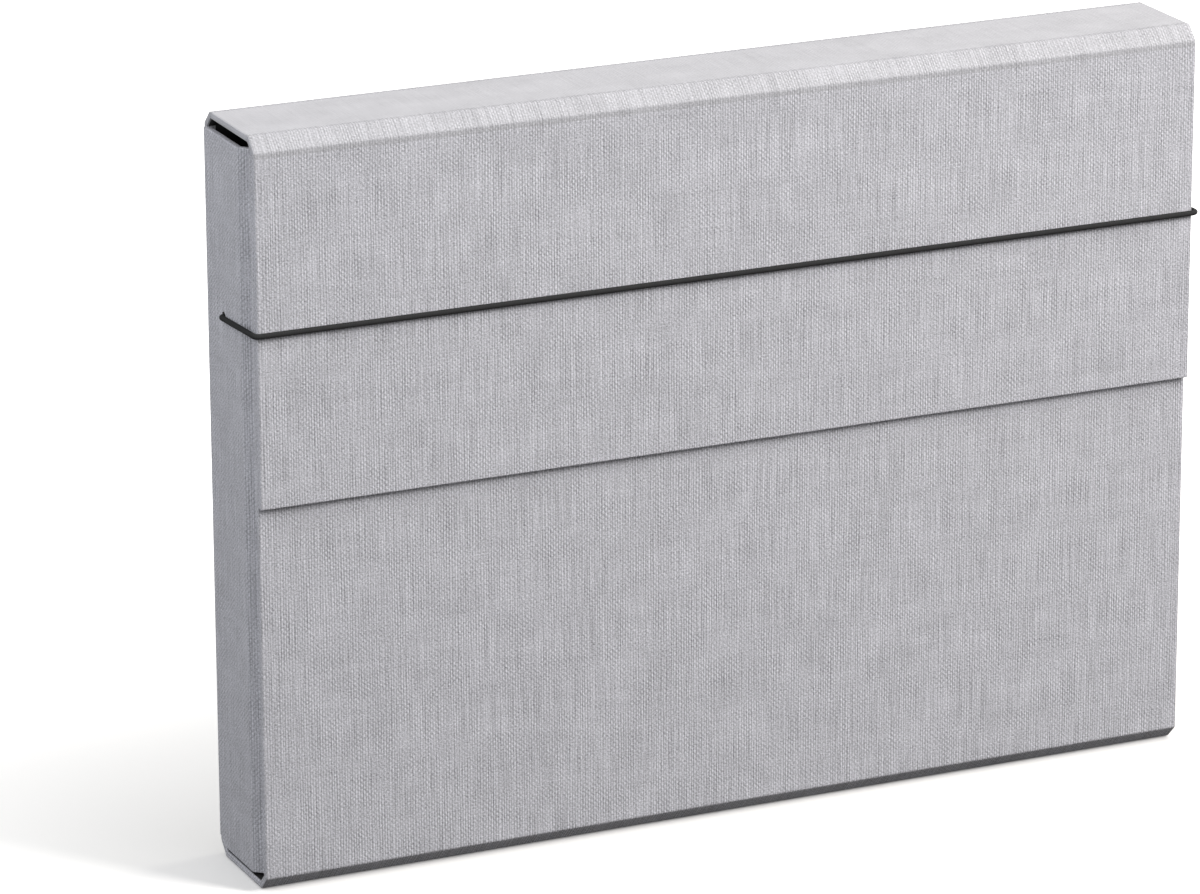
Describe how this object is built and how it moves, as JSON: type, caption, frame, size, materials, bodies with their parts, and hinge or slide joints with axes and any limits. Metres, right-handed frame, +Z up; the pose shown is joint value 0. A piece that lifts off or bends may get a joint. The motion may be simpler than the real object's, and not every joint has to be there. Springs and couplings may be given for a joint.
{
  "type": "elastic document folder",
  "caption": "Rigid cloth-covered document folder with a hinged lid and flap held shut by an elastic cord.",
  "frame": {"origin": "on the floor, in the middle of the closed folder's outer box, cord included", "axes": "+X along the folder's width, -Y out of the front with the flap, +Z up"},
  "size_m": [0.3346, 0.0445, 0.2485],
  "materials": {
    "cover_board": "matt grey board",
    "linen_cloth": "matt grey linen-weave book cloth",
    "dark_lining": "matt black paper",
    "elastic": "black braided elastic",
    "bar_metal": "plain steel"
  },
  "bodies": {
    "tray": {"back_board": "cover_board", "back_cloth": "linen_cloth", "back_lining": "dark_lining", "back_bottom_strip_board": "cover_board", "back_bottom_strip_cloth": "linen_cloth", "back_bottom_strip_lining": "dark_lining", "bottom_board": "cover_board", "bottom_cloth": "linen_cloth", "bottom_lining": "dark_lining", "front_bottom_strip_board": "cover_board", "front_bottom_strip_cloth": "linen_cloth", "front_bottom_strip_lining": "dark_lining", "front_board": "cover_board", "front_cloth": "linen_cloth", "front_lining": "dark_lining", "left_side_board": "cover_board", "left_corner_strip_board": "cover_board", "left_side_cloth": "linen_cloth", "left_side_lining": "dark_lining", "left_cord_end_bar": "bar_metal", "right_side_board": "cover_board", "right_corner_strip_board": "cover_board", "right_side_cloth": "linen_cloth", "right_side_lining": "dark_lining", "right_cord_end_bar": "bar_metal"},
    "back_top_strip": {"back_top_strip_board": "cover_board", "back_top_strip_cloth": "linen_cloth", "back_top_strip_lining": "dark_lining"},
    "top_panel": {"top_panel_board": "cover_board", "top_panel_cloth": "linen_cloth", "top_panel_lining": "dark_lining"},
    "front_top_strip": {"front_top_strip_board": "cover_board", "front_top_strip_cloth": "linen_cloth", "front_top_strip_lining": "dark_lining"},
    "flap": {"flap_board": "cover_board", "flap_cloth": "linen_cloth", "flap_lining": "dark_lining"},
    "elastic": {"elastic_cord": "elastic"}
  },
  "joints": [
    {"name": "back_crease_lower", "type": "hinge", "parent": "tray", "child": "back_top_strip", "pos_m": [0, 0.02205, 0.244], "axis": [-1, 0, 0], "range_deg": [0, 45]},
    {"name": "back_crease_upper", "type": "hinge", "parent": "back_top_strip", "child": "top_panel", "pos_m": [0, 0.01755, 0.2485], "axis": [-1, 0, 0], "range_deg": [0, 45]},
    {"name": "front_crease_upper", "type": "hinge", "parent": "top_panel", "child": "front_top_strip", "pos_m": [0, -0.01545, 0.2485], "axis": [-1, 0, 0], "range_deg": [0, 45]},
    {"name": "front_crease_lower", "type": "hinge", "parent": "front_top_strip", "child": "flap", "pos_m": [0, -0.01995, 0.244], "axis": [-1, 0, 0], "range_deg": [0, 45]},
    {"name": "elastic_pull", "type": "slide", "parent": "tray", "child": "elastic", "axis": [0, 0, -1], "range_m": [0, 0.062], "deforming": ["elastic_cord"]}
  ],
  "couplings": [
    {"joint": "back_crease_upper", "follows": "back_crease_lower", "ratio": 1},
    {"joint": "front_crease_lower", "follows": "front_crease_upper", "ratio": 1}
  ]
}
